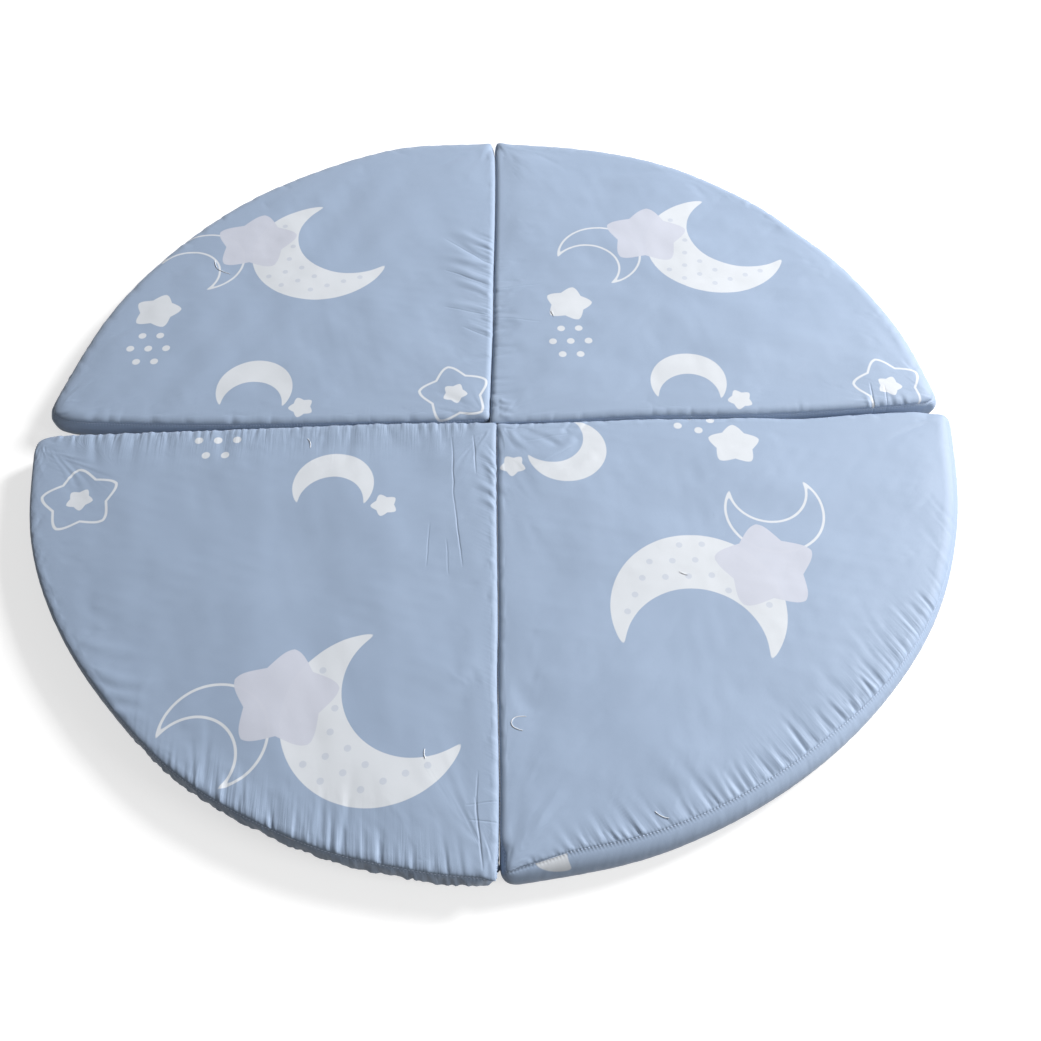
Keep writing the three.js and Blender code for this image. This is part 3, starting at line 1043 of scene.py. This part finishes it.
def speckShape(shader, dx, dy, size):
    # A small cluster of whole dots
    pitch, radius = size * printed["speckPitch"], size * printed["speckSize"]
    dots, dotX, dotY = dotField(shader, dx, dy, pitch, radius)
    far = circle(shader, dotX, dotY, size) * 100
    return shader.maths("MAXIMUM", dots, far)


def moonDots(shader, dx, dy, size):
    # Whole dots inside a moon
    dots, dotX, dotY = dotField(shader, dx, dy, printed["dotPitch"], printed["dotSize"])
    inside = (moonShape(shader, dotX, dotY, size) + printed["dotMargin"]) * 100
    return shader.maths("MAXIMUM", dots, inside)


motifShapes = {"moon": moonShape, "star": starShape, "specks": speckShape, "moonDots": moonDots}


def motifMask(shader, x, y, kind, at, size, turn):
    dx, dy = motifPlace(shader, x, y, at, turn)
    distance = motifShapes[kind.removesuffix("Line")](shader, dx, dy, size)
    if kind.endswith("Line"):
        distance = abs(distance) - printed["line"] / 2
    return shader.maths("SUBTRACT", 0.5, distance / printed["edge"], clamp=True)


def darker(colour, paintedLightShade):
    return tuple(c * paintedLightShade for c in colour[:3]) + (1,)


# Relief that is only in the material, in metres. pleats: how many a metre along the seam
# and in from it, and how high.
surface = {
    "pleats": ((105, 7, 0.00055), (230, 16, 0.00028)),
    "pleatPower": 0.75,
    "pucker": 0.00010,
    "puckerReach": 0.0034,
    "wander": 0.004,  # of a thin crease
    "warp": 0.00042,
    "weft": 0.00070,
    "weaveHeight": 0.00001,
    "slubHeight": 0.00003,
    "crumpleHeight": 0.00016,
    "strength": 0.9,
}


def finePleats(shader):
    # The finest pleats along the seams and on the side band, and the pucker of each stitch
    uv = shader.add("ShaderNodeUVMap", {"uv_map": "pleats"}, {})
    start, depth = shader.split(uv)
    strength = shader.add("ShaderNodeAttribute", {"attribute_name": "gather"}, {}, output=2)
    height = 0.0
    for across, inwards, high in surface["pleats"]:
        spot = shader.add("ShaderNodeCombineXYZ", {}, {"X": start * across, "Y": depth * inwards})
        crest = abs(shader.noise(spot, 1.0, 1.0) - 0.5) * 2
        crest = shader.maths("POWER", crest, surface["pleatPower"])
        height = height + crest * high
    near = shader.maths("EXPONENT", -(depth * depth) / surface["puckerReach"] ** 2)
    pucker = shader.maths("SINE", start * (2 * math.pi / stitch["pitch"])) * near
    return height * strength + pucker * surface["pucker"]


def thinCreases(shader, creases):
    # Sharp creases at places in metres from the mat's middle
    place = shader.add("ShaderNodeTexCoord", {}, {}, output=3)
    px, py = shader.split(place)
    bow = (shader.noise(place, 30.0, 1.0) - 0.5) * surface["wander"]
    height = 0.0
    for x0, y0, x1, y1, width, depth in creases:
        run = math.hypot(x1 - x0, y1 - y0)
        ux, uy = (x1 - x0) / run, (y1 - y0) / run
        x0, y0 = x0 + mat["middle"][0], y0 + mat["middle"][1]
        t = px * (ux / run) + py * (uy / run) - (x0 * ux + y0 * uy) / run
        across = px * uy - py * ux - (x0 * uy - y0 * ux) + bow
        ends = shader.maths("SQRT", shader.maths("MAXIMUM", t * (1 - t) * 4, 0))
        share = across / width
        height = height - shader.maths("EXPONENT", -(share * share)) * ends * depth
    return height


def printedSateen(name, pad):
    shader = Shader(bpy.data.materials.new(name))
    paintedLightShade = pad["paintedLightShade"]
    uv = shader.add("ShaderNodeUVMap", {"uv_map": "cloth"}, {})
    x, y = shader.split(uv)
    # The dye is a little uneven
    cloudy = shader.noise(uv, 9.0, 3.0)
    slubs = shader.noise(uv, 700.0, 2.0)
    share = shader.maths("ADD", (cloudy - 0.5) * 1.1, (slubs - 0.5) * 0.9 + 0.5, clamp=True)
    # Both ground colours are darkened by the pad's share: painted shade of the light from the
    # right, and painted sheen of the sateen.
    ground, wornWithPaintedShade = (darker(printed[key], paintedLightShade) for key in ("ground", "groundWorn"))
    colour = shader.mix(share, ground, wornWithPaintedShade)
    cover = printed["opacity"] + (1 - printed["opacity"]) * slubs
    for kind, at, size, turn, paint in motifs:
        mask = motifMask(shader, x, y, kind, at, size, turn)
        colour = shader.mix(mask * cover, colour, printed[paint])
    # Sateen: fine threads that run one way, with the weave hardly showing
    warp = shader.maths("SINE", x * (2 * math.pi / surface["warp"]))
    weft = shader.maths("SINE", y * (2 * math.pi / surface["weft"]))
    height = warp * weft * surface["weaveHeight"] + slubs * surface["slubHeight"]
    height = height + shader.noise(uv, 60.0, 4.0) * surface["crumpleHeight"]
    height = height + finePleats(shader) + thinCreases(shader, pad["thin"])
    settings = {"Strength": surface["strength"], "Distance": 1.0, "Height": height}
    bump = shader.add("ShaderNodeBump", {}, settings)
    roughness = 0.54 + (slubs - 0.5) * 0.12 + (cloudy - 0.5) * 0.08
    look = {
        "Base Color": colour,
        "Roughness": roughness,
        "Normal": bump,
        "IOR": 1.45,
        "Specular IOR Level": 0.28,
        "Sheen Weight": 0.22,
        "Sheen Roughness": 0.45,
        "Sheen Tint": (0.85, 0.90, 1.0, 1),
    }
    return shader.finish(shader.add("ShaderNodeBsdfPrincipled", {}, look))


def threadMaterial(name, dark, light):
    shader = Shader(bpy.data.materials.new(name))
    place = shader.add("ShaderNodeTexCoord", {}, {}, output=3)
    twist = shader.noise(place, 1800.0, 1.0)
    colour = shader.mix(twist, dark, light)
    bump = shader.add("ShaderNodeBump", {}, {"Strength": 0.6, "Distance": 0.0001, "Height": twist})
    look = {"Base Color": colour, "Roughness": 0.5 + twist * 0.15, "Normal": bump}
    look["Sheen Weight"] = 0.2
    return shader.finish(shader.add("ShaderNodeBsdfPrincipled", {}, look))


# ---- the making ----
print("materials")
blueThread = threadMaterial("sewing_thread", (0.36, 0.44, 0.58, 1), (0.52, 0.60, 0.72, 1))
paleThread = threadMaterial("loose_thread", (0.72, 0.74, 0.76, 1), (0.86, 0.87, 0.88, 1))


def dress(piece, material):
    piece.data.materials.append(material)
    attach(piece, "root")


for padName, pad in pads.items():
    print("pad:", padName)
    cover, *seams = makePad(padName)
    dress(cover, printedSateen(padName + "_sateen", pad))
    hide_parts(padName)
    tops = placesOf(cover.data)
    tops = tops[tops[:, 2] > thread["above"]]

    def heightAt(x, y):
        return float(tops[np.argmin((tops[:, 0] - x) ** 2 + (tops[:, 1] - y) ** 2), 2])

    dress(makeThreads(padName + "_loose_threads", looseThreads[padName], heightAt), paleThread)
    for row, line, normals in (("top", *seams[:2]), ("lower", *seams[2:])):
        dress(makeStitches(f"{padName}_{row}_stitches", line, normals), blueThread)


# ---- floor, light and camera ----
stage = {
    "floor": 12.0,
    "floorHeight": -0.0002,
    "floorColour": (0.50, 0.50, 0.50, 1),
    "floorGlow": 0.64,
    "sky": 0.22,  # light from above the horizon
    "ground": 0.05,  # light from below it
    "backdrop": 0.80,  # what the camera sees beyond the floor
    "horizon": (-0.05, 0.15),  # where the light below turns into the light above
    "view": "Standard",
    # place, what it points at, side length, power
    "lights": (
        ((4.70, 2.70, 3.50), (0.0, 0.0, 0.0), 2.0, 710),
        ((4.20, -2.00, 1.90), (0.0, 0.0, 0.0), 1.6, 110),
    ),
}
camera = {
    "place": (0.0136, -0.9985, 1.2340),
    "lookAt": (0.0297, -0.1765, 0.045),
    "roll": -0.18,
    "lens": 37.09,
    "sensor": 36.0,
}


def pointAt(thing, place, target):
    thing.location = place
    way = Vector(target) - Vector(place)
    thing.rotation_euler = way.to_track_quat("-Z", "Y").to_euler()


def makeStage():
    bm = bmesh.new()
    bmesh.ops.create_grid(bm, x_segments=1, y_segments=1, size=stage["floor"])
    bmesh.ops.translate(bm, vec=(0, 0, stage["floorHeight"]), verts=bm.verts)
    floor = newObject("floor", newMesh(bm, "floor"))
    shader = Shader(bpy.data.materials.new("pale_floor"))
    settings = {"Base Color": stage["floorColour"], "Roughness": 0.8, "Specular IOR Level": 0.1}
    settings |= {"Emission Color": (1, 1, 1, 1), "Emission Strength": stage["floorGlow"]}
    paint = shader.add("ShaderNodeBsdfPrincipled", {}, settings)
    floor.data.materials.append(shader.finish(paint))
    floor.visible_diffuse = False  # the real floor threw little light back at the mat's sides
    makeWorld()
    for i, (place, target, side, power) in enumerate(stage["lights"]):
        data = bpy.data.lights.new(f"soft_{i}", "AREA")
        data.size = side
        data.energy = power
        pointAt(newObject(f"soft_{i}", data), place, target)


def makeWorld():
    # Light from above the horizon and less from below, and a plain backdrop for the camera
    shader = Shader(bpy.data.worlds.new("studio"))
    place = shader.add("ShaderNodeTexCoord", {}, {})
    up = shader.add("ShaderNodeSeparateXYZ", {}, {"Vector": place}, output=2)
    limits = (*stage["horizon"], stage["ground"], stage["sky"])
    limits = dict(zip(("From Min", "From Max", "To Min", "To Max"), limits))
    light = shader.add("ShaderNodeMapRange", {}, {"Value": up, **limits})
    seen = shader.add("ShaderNodeLightPath", {}, {})
    choice = {"Factor": seen, "A": light, "B": stage["backdrop"]}
    strength = shader.add("ShaderNodeMix", {}, choice)
    white = {"Color": (1, 1, 1, 1), "Strength": strength}
    sky = shader.add("ShaderNodeBackground", {}, white)
    bpy.context.scene.world = shader.finish(sky, "ShaderNodeOutputWorld")


def makeCamera():
    data = bpy.data.cameras.new("camera")
    data.lens = camera["lens"]
    data.sensor_width = camera["sensor"]
    eye = newObject("camera", data)
    pointAt(eye, camera["place"], camera["lookAt"])
    eye.rotation_euler.rotate_axis("Z", math.radians(camera["roll"]))
    bpy.context.scene.camera = eye


print("stage")
makeStage()
makeCamera()
bpy.context.scene.view_settings.view_transform = stage["view"]
